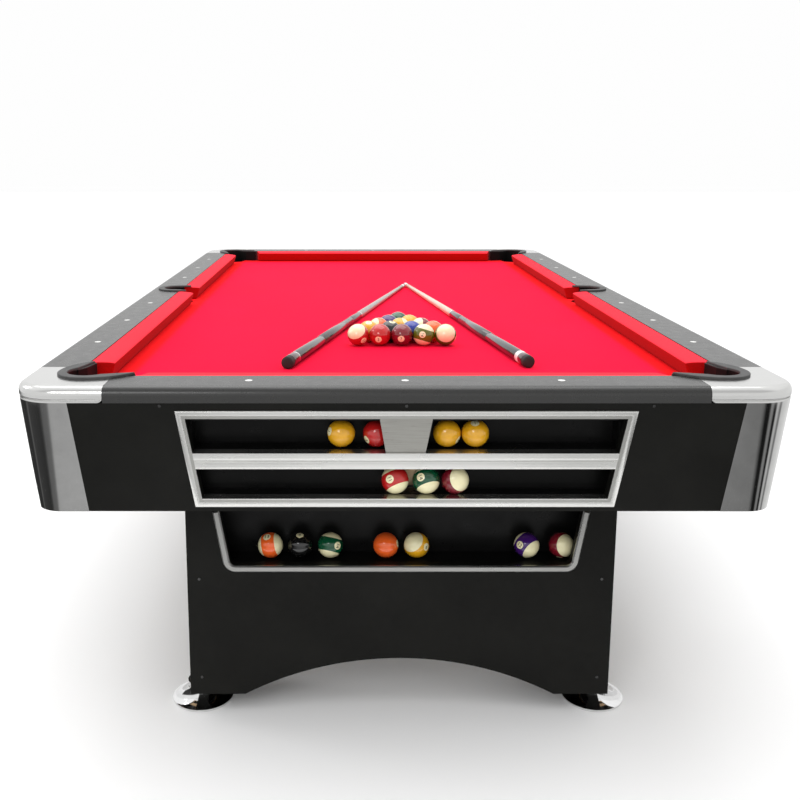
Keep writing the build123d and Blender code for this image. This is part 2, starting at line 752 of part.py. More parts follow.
def make_feet():
    top, seat = PED_BOTTOM - 0.8, 20.0
    with BuildPart() as foot:
        with BuildSketch(Plane.XZ):
            with BuildLine():
                Polyline((0, seat), (0, 0), (FOOT_R - 3, 0), (FOOT_R, 3), (FOOT_R, 7))
                RadiusArc((FOOT_R, 7), (34, 33), 44)
                Polyline((34, 33), (34, top), (STUD_R + 0.1, top), (STUD_R + 0.1, seat), (0, seat))
            make_face()
        revolve(axis=Axis.Z)
    with BuildPart() as stud:
        with BuildSketch(Plane.XY.offset(seat + 0.2)):
            Circle(STUD_R)
        extrude(amount=STUD_TOP - seat - 2)
        chamfer(stud.faces().sort_by(Axis.Z)[-1].edges(), 1.5)
    for part, name in ((foot.part, "leveller"), (stud.part, "leveller_stud")):
        save_four(part.moved(Location((-FOOT_X, FOOT_Y, 0))), name)


# ---- balls and cues, loose on the table ----
def balls(centres, floor, y=-TRAY_BACK - BALL_R - 1):
    """Balls that stand on a shelf, at these places across it."""
    with BuildPart() as made:
        with Locations(*[(x, y, floor + BALL_LIFT) for x in centres]):
            Sphere(BALL_R)
    return made.part


def cue(butt, heading):
    """A tapered cue, lying with its full length on the cloth."""
    length, butt_r, tip_r = 1474.0, 15.0, 6.5
    heading = math.radians(heading)
    along = (math.cos(heading) * length, math.sin(heading) * length, tip_r - butt_r)
    plane = Plane(origin=(*butt, CLOTH_Z + butt_r + 0.3), z_dir=along)
    with BuildPart() as made:
        with BuildSketch(plane):
            Circle(butt_r)
        with BuildSketch(plane.offset(length)):
            Circle(tip_r)
        loft()
    return made.part


def make_loose():
    with BuildPart() as upper:
        add(balls((-130, -57, 86, 144), SHELF_HIGH))
        add(balls((-19, 45, 105), WINDOW_LOW))
    save(upper.part, "upper_window_balls")
    lower = balls((-291, -224, -156, -31, 38, 286, 364), LOWER_FLOOR, PED_FACE + 48)
    save(lower, "lower_window_balls")

    pitch = 2 * BALL_R + 0.3
    apex_x, apex_y = 25.0, -HALF_L + 849
    spots = [
        (apex_x + (k - row / 2) * pitch, apex_y - row * pitch * math.sqrt(3) / 2,
         CLOTH_Z + BALL_LIFT)
        for row in range(5) for k in range(row + 1)
    ]
    with BuildPart() as rack:
        with Locations(*spots):
            Sphere(BALL_R)
    save(rack.part, "racked_balls")
    save(cue((-259, -HALF_L + 362), 76.2), "cue_left")
    save(cue((309, -HALF_L + 373), 98.1), "cue_right")


make_bed()
make_rails()
make_cushions()
make_castings()
make_liners()
make_cabinet()
make_return()
make_window()
make_pedestals()
make_screws()
make_feet()
make_loose()
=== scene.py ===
import bpy
import bmesh
import json
import math
from mathutils import Matrix, Vector, noise

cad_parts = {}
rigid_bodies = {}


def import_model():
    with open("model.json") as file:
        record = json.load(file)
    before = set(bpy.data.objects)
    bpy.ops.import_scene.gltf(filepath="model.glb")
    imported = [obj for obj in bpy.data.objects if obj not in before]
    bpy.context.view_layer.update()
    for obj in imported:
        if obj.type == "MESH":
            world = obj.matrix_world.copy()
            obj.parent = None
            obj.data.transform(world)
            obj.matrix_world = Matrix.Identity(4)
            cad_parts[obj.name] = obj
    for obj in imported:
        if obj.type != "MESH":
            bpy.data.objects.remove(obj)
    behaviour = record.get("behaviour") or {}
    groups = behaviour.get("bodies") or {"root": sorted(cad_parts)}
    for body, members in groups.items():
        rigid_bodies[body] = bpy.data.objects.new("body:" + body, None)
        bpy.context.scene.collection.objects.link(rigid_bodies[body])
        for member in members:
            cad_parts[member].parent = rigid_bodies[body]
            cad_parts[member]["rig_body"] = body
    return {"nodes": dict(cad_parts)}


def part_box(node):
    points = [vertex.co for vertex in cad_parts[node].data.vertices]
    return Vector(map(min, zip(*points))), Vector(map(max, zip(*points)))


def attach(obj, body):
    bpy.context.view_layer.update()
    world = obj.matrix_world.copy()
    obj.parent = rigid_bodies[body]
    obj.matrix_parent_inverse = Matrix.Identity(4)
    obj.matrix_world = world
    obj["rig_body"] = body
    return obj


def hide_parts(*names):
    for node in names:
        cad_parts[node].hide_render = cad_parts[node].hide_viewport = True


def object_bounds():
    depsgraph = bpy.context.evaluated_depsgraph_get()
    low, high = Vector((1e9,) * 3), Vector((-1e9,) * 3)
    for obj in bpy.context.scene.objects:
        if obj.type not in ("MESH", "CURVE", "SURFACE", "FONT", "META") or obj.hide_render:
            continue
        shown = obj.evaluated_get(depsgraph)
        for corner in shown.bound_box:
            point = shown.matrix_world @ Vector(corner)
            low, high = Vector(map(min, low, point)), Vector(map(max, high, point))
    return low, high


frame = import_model()
cad_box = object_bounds()
NODES = frame["nodes"]
MM = 0.001


# ---- where things are, from the CAD ----
RAIL_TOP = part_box("side_rail_left")[1].z
APRON_LO, APRON_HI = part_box("cabinet_end_foot")
CLOTH_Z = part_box("bed_cloth")[1].z
APRON_LOW_Y = min(
    v.co.y for v in NODES["cabinet_end_foot"].data.vertices if v.co.z < APRON_LO.z + 0.001
)
SLANT = math.atan((APRON_LOW_Y - APRON_LO.y) / (APRON_HI.z - APRON_LO.z))


def apron_y(z):
    """Y of the foot apron's outer face at height z."""
    return APRON_LO.y + (APRON_HI.z - z) * math.tan(SLANT)


def islands(node):
    """The middle of each loose part of a CAD node, such as each ball of a rack, left to right."""
    made = bmesh.new()
    made.from_mesh(NODES[node].data)
    bmesh.ops.remove_doubles(made, verts=made.verts, dist=1e-6)
    left, middles = set(made.verts), []
    while left:
        group, edge = set(), [left.pop()]
        while edge:
            v = edge.pop()
            group.add(v)
            near = [e.other_vert(v) for e in v.link_edges]
            edge += [n for n in near if n in left]
            left -= set(near)
        lo = [min(v.co[i] for v in group) for i in range(3)]
        hi = [max(v.co[i] for v in group) for i in range(3)]
        middles.append(Vector([(a + b) / 2 for a, b in zip(lo, hi)]))
    made.free()
    return sorted(middles, key=lambda p: (round(p.x, 4), round(p.y, 4), p.z))


# ---- materials ----
def node(tree, kind, **inputs):
    made = tree.nodes.new(kind)
    for key, value in inputs.items():
        if key in made.inputs:
            made.inputs[key].default_value = value
        else:
            setattr(made, key, value)
    return made


def map_range(tree, value, source, target, kind="SMOOTHSTEP"):
    """Takes value from one (low, high) pair to another."""
    made = node(tree, "ShaderNodeMapRange", interpolation_type=kind)
    names = ("From Min", "From Max", "To Min", "To Max")
    for name, number in zip(names, (*source, *target)):
        made.inputs[name].default_value = number
    tree.links.new(value, made.inputs["Value"])
    return made.outputs[0]


class Look:
    """A procedural material, built up one step at a time."""

    def __init__(self, name, color, rough, **sockets):
        self.material = bpy.data.materials.new(name)
        self.material.use_nodes = True
        self.tree = self.material.node_tree
        self.link = self.tree.links.new
        self.shader = self.tree.nodes["Principled BSDF"]
        self.shader.inputs["Base Color"].default_value = (*color, 1)
        self.shader.inputs["Roughness"].default_value = rough
        for key, value in sockets.items():
            self.shader.inputs[key.replace("_", " ")].default_value = value
        self.place = self.tree.nodes.new("ShaderNodeTexCoord").outputs["Object"]
        self.color = None
        self.height = None

    def noise(self, scale, detail=3.0, stretch=(1, 1, 1), rough=0.6):
        mapping = self.tree.nodes.new("ShaderNodeMapping")
        mapping.inputs["Scale"].default_value = stretch
        self.link(self.place, mapping.inputs["Vector"])
        made = node(self.tree, "ShaderNodeTexNoise", Scale=scale, Detail=detail, Roughness=rough)
        self.link(mapping.outputs[0], made.inputs["Vector"])
        return made.outputs["Fac"]

    def wave(self, scale, direction, distortion=0.0):
        made = node(
            self.tree, "ShaderNodeTexWave", Scale=scale, Distortion=distortion,
            wave_type="BANDS", bands_direction=direction,
        )
        self.link(self.place, made.inputs["Vector"])
        return made.outputs["Fac"]

    def ramp(self, fac, stops):
        made = self.tree.nodes.new("ShaderNodeValToRGB")
        line = made.color_ramp
        while len(line.elements) < len(stops):
            line.elements.new(0.5)
        for element, (at, color) in zip(line.elements, stops):
            element.position = at
            element.color = (*color, 1)
        self.link(fac, made.inputs["Fac"])
        return made.outputs["Color"]

    def tint(self, fac, stops):
        """The colour runs along stops with fac."""
        self.color = self.ramp(fac, stops)
        self.link(self.color, self.shader.inputs["Base Color"])
        return self

    def roughness(self, fac, low, high):
        spread = map_range(self.tree, fac, (0.3, 0.7), (low, high), "LINEAR")
        self.link(spread, self.shader.inputs["Roughness"])
        return self

    def bump(self, fac, strength, distance):
        made = self.tree.nodes.new("ShaderNodeBump")
        made.inputs["Strength"].default_value = strength
        made.inputs["Distance"].default_value = distance
        self.link(fac, made.inputs["Height"])
        if self.height is not None:
            self.link(self.height, made.inputs["Normal"])
        self.height = made.outputs["Normal"]
        self.link(self.height, self.shader.inputs["Normal"])
        return self

    def math(self, operation, *values):
        made = node(self.tree, "ShaderNodeMath", operation=operation)
        for i, value in enumerate(values):
            if isinstance(value, (int, float)):
                made.inputs[i].default_value = value
            else:
                self.link(value, made.inputs[i])
        return made.outputs[0]

    def axes(self):
        made = self.tree.nodes.new("ShaderNodeSeparateXYZ")
        self.link(self.place, made.inputs[0])
        return made.outputs

    def mix(self, fac, a, b):
        made = node(self.tree, "ShaderNodeMix", data_type="RGBA")
        for socket, value in ((made.inputs[0], fac), (made.inputs[6], a), (made.inputs[7], b)):
            if isinstance(value, tuple):
                socket.default_value = (*value, 1)
            else:
                self.link(value, socket)
        return made.outputs[2]


def around(color, spread):
    """Two stops, a little darker and a little lighter than a colour."""
    darker = tuple(c * (1 - spread) for c in color)
    lighter = tuple(c * (1 + spread) for c in color)
    return [(0.3, darker), (0.7, lighter)]


def cloth_look(name, color, sheen):
    look = Look(name, color, 0.9, Sheen_Weight=sheen, Sheen_Roughness=0.45, Specular_IOR_Level=0.05)
    look.shader.inputs["Sheen Tint"].default_value = (1.0, 0.35, 0.45, 1)
    warp, weft = look.wave(420, "X", 1.5), look.wave(420, "Y", 1.5)
    fuzz = look.noise(900, 4)
    weave = look.math("MULTIPLY", look.math("ADD", warp, weft), 0.5)
    wide = look.math("MULTIPLY", look.noise(3, 4), 0.6)
    mixed = look.math("ADD", wide, look.math("MULTIPLY", fuzz, 0.4))
    look.tint(mixed, around(color, 0.10))
    return look.bump(weave, 0.25, 0.0002).bump(fuzz, 0.25, 0.0002)


def ease(look, value, low, high):
    """Rises smoothly from 0 to 1 as value goes from low to high."""
    return map_range(look.tree, value, (low, high), (0, 1))


# The bed: painted bounce light and shade, a more saturated orange-red strip along the cushions, where
# red light bounces.
look = cloth_look("worsted_cloth", (0.93, 0.006, 0.043), 0.01)
x, y, _ = look.axes()
painted_bounce_strip = look.math(
    "MAXIMUM",
    ease(look, look.math("ABSOLUTE", x), 0.595, 0.618),
    ease(look, look.math("ABSOLUTE", y), 1.230, 1.253),
)
# Painted bounce light and shade: the base colour turns orange-red near the cushions.
look.color = look.mix(look.math("MULTIPLY", painted_bounce_strip, 0.8), look.color, (0.86, 0.008, 0.004))
look.link(look.color, look.shader.inputs["Base Color"])
CLOTH = look.material

# The cushions' cloth: painted shade, darker red on the face under the nose than on the flat top, which
# is lit from above.
look = cloth_look("cushion_cloth", (0.90, 0.035, 0.055), 0.05)
up = look.tree.nodes.new("ShaderNodeSeparateXYZ")
look.link(look.tree.nodes.new("ShaderNodeNewGeometry").outputs["Normal"], up.inputs[0])
# Painted shade: the colour darkens as the surface turns away from straight up.
top = ease(look, up.outputs["Z"], 0.25, 0.75)
look.color = look.mix(top, (0.40, 0.004, 0.004), look.color)
look.link(look.color, look.shader.inputs["Base Color"])
CUSHION = look.material

look = Look("rail_laminate", (0.03, 0.03, 0.03), 0.36, Specular_IOR_Level=0.65)
speck = look.noise(1400, 2, rough=0.8)
look.tint(speck, [(0.35, (0.005, 0.005, 0.0045)), (0.65, (0.022, 0.022, 0.021))])
look.roughness(look.noise(40), 0.25, 0.32).bump(speck, 0.12, 0.0001)
RAIL = look.material

look = Look("cabinet_laminate", (0.006, 0.006, 0.005), 0.5, Specular_IOR_Level=0.12)
grain = look.noise(700, 3)
look.tint(look.noise(5, 5), [(0.3, (0.0045, 0.0045, 0.0038)), (0.7, (0.0085, 0.0085, 0.0072))])
look.roughness(look.noise(60, 4), 0.42, 0.58).bump(grain, 0.35, 0.00015)
CABINET = look.material

look = Look("tray_laminate", (0.003, 0.003, 0.003), 0.3, Specular_IOR_Level=0.14)
look.tint(look.noise(8, 4), around((0.004, 0.004, 0.004), 0.3))
look.roughness(look.noise(25, 4), 0.25, 0.45).bump(look.noise(500, 3), 0.15, 0.0001)
TRAY = look.material


def metal(name, color, rough, stretch=(1, 1, 1), bump=0.02, spread=0.06, scale=300):
    look = Look(name, color, rough, Metallic=1.0)
    streak = look.noise(scale, 4, stretch)
    look.tint(streak, around(color, spread))
    look.roughness(streak, rough * 0.75, rough * 1.3).bump(streak, bump, 0.00005)
    return look.material


CHROME = metal("polished_chrome", (0.80, 0.80, 0.79), 0.08, scale=20)
SATIN = metal("satin_casting", (0.64, 0.64, 0.63), 0.20, bump=0.0, spread=0.02, scale=12)
FOOT_CHROME = metal("foot_chrome", (0.75, 0.75, 0.75), 0.07, scale=30)
TRIM = metal("satin_aluminium", (0.72, 0.72, 0.70), 0.26, bump=0.0, spread=0.02, scale=5)
TRIM_STEP = metal("aluminium_step", (0.42, 0.42, 0.40), 0.32, bump=0.0, spread=0.02, scale=5)
LOW_TRIM = metal("lower_trim_aluminium", (0.33, 0.33, 0.32), 0.3, bump=0.0, spread=0.03, scale=5)
PLATE = metal("brushed_aluminium", (0.36, 0.355, 0.33), 0.34, (0.02, 1, 1), 0.2, 0.12, 700)
STUD = metal("zinc_plate", (0.5, 0.5, 0.48), 0.35)
SCREW = metal("screw_nickel", (0.07, 0.07, 0.07), 0.25)

# The collar's top is scuffed grey, and the throat below is painted near-black, partly dirt and partly
# painted shade in the recess.
look = Look("liner_plastic", (0.075, 0.075, 0.075), 0.5, Specular_IOR_Level=0.15)
look.tint(look.noise(30, 3), around((0.075, 0.075, 0.075), 0.15)).bump(look.noise(900, 3), 0.15, 0.0001)
# Painted shade and dirt: below the rail's top the colour turns near-black.
over = ease(look, look.axes()[2], RAIL_TOP - 0.003, RAIL_TOP + 0.001)
look.color = look.mix(over, (0.003, 0.003, 0.003), look.color)
look.link(look.color, look.shader.inputs["Base Color"])
LINER = look.material

look = Look("track_plastic", (0.02, 0.02, 0.02), 0.45)
look.tint(look.noise(12, 3), around((0.02, 0.02, 0.02), 0.25)).bump(look.noise(300, 2), 0.1, 0.0001)
TRACK = look.material

look = Look("sight_inlay", (0.80, 0.80, 0.76), 0.25, Coat_Weight=0.3)
look.tint(look.noise(260, 3), [(0.35, (0.62, 0.62, 0.60)), (0.65, (0.88, 0.88, 0.84))])
SIGHT = look.material

look = Look("frame_softwood", (0.45, 0.30, 0.17), 0.7)
rings = look.noise(18, 5, (1, 0.08, 1))
look.tint(rings, [(0.3, (0.36, 0.22, 0.11)), (0.7, (0.55, 0.40, 0.24))]).bump(rings, 0.2, 0.0004)
WOOD = look.material

look = Look("honed_slate", (0.10, 0.11, 0.12), 0.65)
look.tint(look.noise(6, 6), [(0.3, (0.07, 0.075, 0.085)), (0.7, (0.14, 0.15, 0.16))])
look.bump(look.noise(120, 5), 0.2, 0.0003)
SLATE = look.material

look = Look("rubber", (0.012, 0.012, 0.012), 0.7)
look.tint(look.noise(80, 3), around((0.014, 0.014, 0.014), 0.3)).bump(look.noise(600, 2), 0.2, 0.0001)
RUBBER = look.material


def paint(name, material):
    slots = NODES[name].data.materials
    slots.clear()
    slots.append(material)


for name in NODES:
    if "rail_" in name and name != "rail_sights":
        paint(name, RAIL)
    elif name == "rail_sights":
        paint(name, SIGHT)
    elif name.startswith("corner_casting"):
        paint(name, SATIN)
    elif name.startswith("corner_cover"):
        paint(name, CHROME)
    elif "liner" in name:
        paint(name, LINER)
    elif name == "cabinet_frame":
        paint(name, WOOD)
    elif name.startswith(("cabinet_side", "cabinet_end", "pedestal_")):
        paint(name, CABINET)
    elif name.endswith("_tray"):
        paint(name, TRAY)
    elif name.startswith("gully"):
        paint(name, TRACK)
    elif name == "lower_window_trim":
        paint(name, LOW_TRIM)
    elif name == "window_trim":
        paint(name, TRIM)
    elif name == "centre_plate":
        paint(name, PLATE)
    elif name.startswith("leveller_stud"):
        paint(name, STUD)
    elif name.startswith("leveller"):
        paint(name, FOOT_CHROME)
    elif name == "cabinet_screws":
        paint(name, SCREW)
    elif name.startswith("slate"):
        paint(name, SLATE)


def soften(name, width, segments=3, angle=30):
    """Rounds a CAD node's sharp edges with a modifier."""
    obj = NODES[name]
    made = obj.modifiers.new("rounded", "BEVEL")
    made.width, made.segments, made.limit_method = width, segments, "ANGLE"
    made.angle_limit = math.radians(angle)
    made.harden_normals = True


for name in NODES:
    if name.startswith("corner_cover"):
        soften(name, 0.0012)


def smooth(obj, angle=35):
    """Smooth shading, with a crease where faces meet at more than angle."""
    mesh = obj.data
    mesh.polygons.foreach_set("use_smooth", [True] * len(mesh.polygons))
    made = bmesh.new()
    made.from_mesh(mesh)
    for edge in made.edges:
        if len(edge.link_faces) == 2 and edge.calc_face_angle(0) > math.radians(angle):
            edge.smooth = False
    made.to_mesh(mesh)
    made.free()


def piece(name, verts, faces, materials, body="table", stands_for=(), sharp=35):
    mesh = bpy.data.meshes.new(name)
    mesh.from_pydata([tuple(v) for v in verts], [], faces)
    made = bmesh.new()
    made.from_mesh(mesh)
    bmesh.ops.recalc_face_normals(made, faces=made.faces)
    made.to_mesh(mesh)
    made.free()
    for material in materials:
        mesh.materials.append(material)
    obj = bpy.data.objects.new(name, mesh)
    bpy.context.scene.collection.objects.link(obj)
    if sharp:
        smooth(obj, sharp)
    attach(obj, body)
    if stands_for:
        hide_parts(*stands_for)
    return obj


# ---- bed cloth: one stretched sheet, tucked down into the pockets ----
TUCK = (0.0015, 0.007)      # two steps down past each pocket's edge


def make_cloth():
    lo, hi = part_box("bed_cloth")
    made = bmesh.new()
    made.from_mesh(NODES["bed_cloth"].data)
    bmesh.ops.remove_doubles(made, verts=made.verts, dist=1e-6)
    under = [f for f in made.faces if f.normal.z < 0.9 or f.calc_center_median().z < hi.z - 1e-5]
    bmesh.ops.delete(made, geom=under, context="FACES")
    rim = [
        e for e in made.edges
        if len(e.link_faces) == 1
        and not all(abs(abs(v.co.x) - hi.x) < 1e-4 for v in e.verts)
        and not all(abs(abs(v.co.y) - hi.y) < 1e-4 for v in e.verts)
    ]
    for drop in TUCK:
        out = bmesh.ops.extrude_edge_only(made, edges=rim)["geom"]
        for v in out:
            if isinstance(v, bmesh.types.BMVert):
                v.co.z -= drop
        rim = [e for e in out if isinstance(e, bmesh.types.BMEdge)]
    mesh = bpy.data.meshes.new("bed_sheet")
    made.to_mesh(mesh)
    made.free()
    mesh.materials.append(CLOTH)
    obj = bpy.data.objects.new("bed_sheet", mesh)
    bpy.context.scene.collection.objects.link(obj)
    smooth(obj, 30)
    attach(obj, "table")
    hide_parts("bed_cloth")


# ---- cushions: cloth pulled tight over a rubber profile ----
# Points of the section: distance from the rail, and height over the bed cloth.
PROFILE = [
    (0, 0.4), (0, 20), (0, 42.0), (1.2, 42.8), (2.4, 43.4), (5, 43.6), (14, 43.3), (26, 42.7),
    (38, 41.6), (45, 40.4), (49, 39.0), (50.6, 37.8), (51, 36.5), (50.8, 34.8), (50.2, 32.6),
    (48.2, 26.5), (45.8, 18.5), (43.2, 10.5), (41.2, 4.5), (40, 0.4), (14, 0.4),
]
DEPTH = 51.0
CUT = 15.0          # how much further a cushion's back reaches at a corner pocket
SPLAY = 13.0        # how much further from a side pocket a cushion's nose ends than its back


def make_cushion(name, place, start, end):
    """place turns (distance from the rail, height, position along it) into a point of the table.
    start and end give the position of the cushion's end at a distance from the rail."""
    middle = (sum(p[0] for p in PROFILE) / len(PROFILE), sum(p[1] for p in PROFILE) / len(PROFILE))
    length = end(DEPTH) - start(DEPTH)
    near = [(0.0, 2.2), (0.7, 0.9), (2.0, 0.2), (4.0, 0.0), (9.0, 0.0), (18.0, 0.0), (32.0, 0.0)]
    steps = [(0, s, shrink) for s, shrink in near]
    steps += [(k / 24, 0, 0) for k in range(2, 23)]
    steps += [(1, -s, shrink) for s, shrink in reversed(near)]
    verts, faces = [], []
    for t, shift, shrink in steps:
        for k, (d, z) in enumerate(PROFILE):
            away = Vector((middle[0] - d, middle[1] - z))
            reach = min(shrink / max(away.length, 1e-6), 1)
            d2, z2 = d + away.x * reach, z + away.y * reach
            at = start(d2) * (1 - t) + end(d2) * t + shift
            # Gathers where the cloth is folded and stapled round the end.
            edge = min(abs(at - start(d2)), abs(at - end(d2)))
            spot = Vector((d2 * 0.11, z2 * 0.13, t * 40 + length))
            fold = math.exp(-edge / 9) * noise.noise(spot)
            if 0 < k < len(PROFILE) - 2 and d > 3:
                d2, z2 = d2 + min(0.0, 1.1 * fold), z2 + 0.5 * fold
            verts.append(Vector(place(d2, z2, at)))
    n = len(PROFILE)
    for i in range(len(steps) - 1):
        for k in range(n):
            a, b = i * n + k, i * n + (k + 1) % n
            faces.append((a, b, b + n, a + n))
    for i, s in ((0, start), (len(steps) - 1, end)):
        verts.append(Vector(place(middle[0], middle[1], s(middle[0]))))
        c = len(verts) - 1
        faces += [(i * n + k, i * n + (k + 1) % n, c) for k in range(n)]
    obj = piece(name + "_cloth", verts, faces, [CUSHION], stands_for=[name], sharp=70)
    made = obj.modifiers.new("smooth", "SUBSURF")
    made.levels = made.render_levels = 1


def make_cushions():
    base = CLOTH_Z
    for side, sx in (("left", -1), ("right", 1)):
        back = abs(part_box(f"side_rail_{side}")[1 if side == "left" else 0].x)
        for end, sy in (("foot", -1), ("head", 1)):
            name = f"cushion_{side}_{end}"
            lo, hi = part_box(name)
            far = max(abs(lo.y), abs(hi.y)) / MM
            near_pocket = min(abs(lo.y), abs(hi.y)) / MM

            def place(d, z, at, sx=sx, sy=sy, back=back):
                return (sx * (back - d * MM), sy * at * MM, base + z * MM)

            make_cushion(
                name, place,
                lambda d, a=near_pocket: a + SPLAY * d / DEPTH,
                lambda d, a=far: a - CUT * d / DEPTH,
            )
    for end, sy in (("foot", -1), ("head", 1)):
        name = f"cushion_{end}"
        lo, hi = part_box(name)
        back = abs(lo.y if end == "foot" else hi.y)
        half = hi.x / MM

        def place(d, z, at, sy=sy, back=back):
            return (at * MM, sy * (back - d * MM), base + z * MM)

        make_cushion(
            name, place,
            lambda d, a=half: CUT * d / DEPTH - a,
            lambda d, a=half: a - CUT * d / DEPTH,
        )


# ---- balls ----
BALL_R = (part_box("racked_balls")[1].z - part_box("racked_balls")[0].z) / 2
CREAM = (0.86, 0.80, 0.50)
HUES = {
    "yellow": (0.76, 0.38, 0.012), "blue": (0.01, 0.03, 0.30), "red": (0.48, 0.012, 0.012),
    "purple": (0.05, 0.01, 0.14), "orange": (0.90, 0.13, 0.02), "green": (0.004, 0.075, 0.03),
    "maroon": (0.19, 0.008, 0.018), "black": (0.006, 0.006, 0.006), "olive": (0.10, 0.13, 0.005),
}
NUMBER = {
    "yellow": 1, "blue": 2, "red": 3, "purple": 4, "orange": 5, "green": 6, "maroon": 7,
    "black": 8, "olive": 6,
}


def ball_look(hue, stripe):
    color = HUES[hue]
    look = Look(f"ball_{hue}_{'stripe' if stripe else 'solid'}", color, 0.06, Coat_Weight=0.6,
                Coat_Roughness=0.03, IOR=1.52)
    x, y, z = look.axes()
    cloud = look.noise(60, 3)
    body = look.ramp(cloud, around(color, 0.07))
    white = look.ramp(cloud, around(CREAM, 0.04))
    if stripe:
        edge = look.math("LESS_THAN", look.math("ABSOLUTE", x), BALL_R * 0.52)
        body = look.mix(edge, white, body)
    out = look.math("SQRT", look.math("ADD", look.math("POWER", x, 2.0), look.math("POWER", y, 2.0)))
    disc = look.math("LESS_THAN", out, BALL_R * 0.30)
    look.link(look.mix(disc, body, white), look.shader.inputs["Base Color"])
    return look.material


look = Look("ball_ink", (0.01, 0.01, 0.01), 0.2, Coat_Weight=0.4)
look.tint(look.noise(50), around((0.01, 0.01, 0.01), 0.2))
INK = look.material
BALL_LOOKS = {}


def digits(number):
    """The faces of a number, laid flat, as lists of points about its middle."""
    curve = bpy.data.curves.new("number", "FONT")
    curve.body, curve.size = str(number), BALL_R * 0.42
    curve.align_x, curve.align_y = "CENTER", "CENTER"
    holder = bpy.data.objects.new("number", curve)
    bpy.context.scene.collection.objects.link(holder)
    bpy.context.view_layer.update()
    shown = holder.evaluated_get(bpy.context.evaluated_depsgraph_get())
    mesh = bpy.data.meshes.new_from_object(shown)
    made = bmesh.new()
    made.from_mesh(mesh)
    bmesh.ops.triangulate(made, faces=made.faces)
    bmesh.ops.subdivide_edges(made, edges=made.edges, cuts=1)
    bmesh.ops.triangulate(made, faces=made.faces)
    found = [[v.co.copy() for v in f.verts] for f in made.faces]
    made.free()
    bpy.data.objects.remove(holder)
    bpy.data.curves.remove(curve)
    bpy.data.meshes.remove(mesh)
    return found


def ball_mesh(name, hue, stripe, numbered=True):
    made = bmesh.new()
    bmesh.ops.create_cube(made, size=2)
    bmesh.ops.subdivide_edges(made, edges=made.edges, cuts=15, use_grid_fill=True)
    for v in made.verts:
        v.co = v.co.normalized() * BALL_R
    for f in made.faces:
        f.smooth = True
    number = NUMBER[hue] + (8 if stripe else 0)
    for flip in (1, -1) if numbered else ():
        for corners in digits(number):
            around_pole = []
            for c in corners:
                x, y = c.x, c.y
                z = math.sqrt(max(BALL_R ** 2 - x * x - y * y, 0)) + 0.00009
                around_pole.append(made.verts.new((x * flip, y, z * flip)))
            face = made.faces.new(around_pole)
            face.material_index = 1
            face.smooth = True
    mesh = bpy.data.meshes.new(name)
    made.to_mesh(mesh)
    made.free()
    key = (hue, stripe)
    if key not in BALL_LOOKS:
        BALL_LOOKS[key] = ball_look(hue, stripe)
    mesh.materials.append(BALL_LOOKS[key])
    mesh.materials.append(INK)
    return mesh


def make_balls(cad_node, rows, order):
    """rows: for each ball its hue, whether it is striped, and where its number and its stripe's
    axis point."""
    meshes = {}
    for i, (middle, row) in enumerate(zip(order(islands(cad_node)), rows)):
        hue, stripe, number_to, axis_to = row
        key = (hue, stripe)
        if key not in meshes:
            kind = "stripe" if stripe else "solid"
            meshes[key] = ball_mesh(f"{cad_node}_{hue}_{kind}", hue, stripe)
        up = Vector(number_to).normalized()
        side = Vector(axis_to)
        side = (side - up * side.dot(up)).normalized()
        front = up.cross(side)
        turn = Matrix((side, front, up)).transposed().to_4x4()
        obj = bpy.data.objects.new(f"{cad_node}_{i + 1}", meshes[key])
        bpy.context.scene.collection.objects.link(obj)
        obj.matrix_world = Matrix.Translation(middle) @ turn
        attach(obj, NODES[cad_node]["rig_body"])
        if i == 0:
            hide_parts(cad_node)


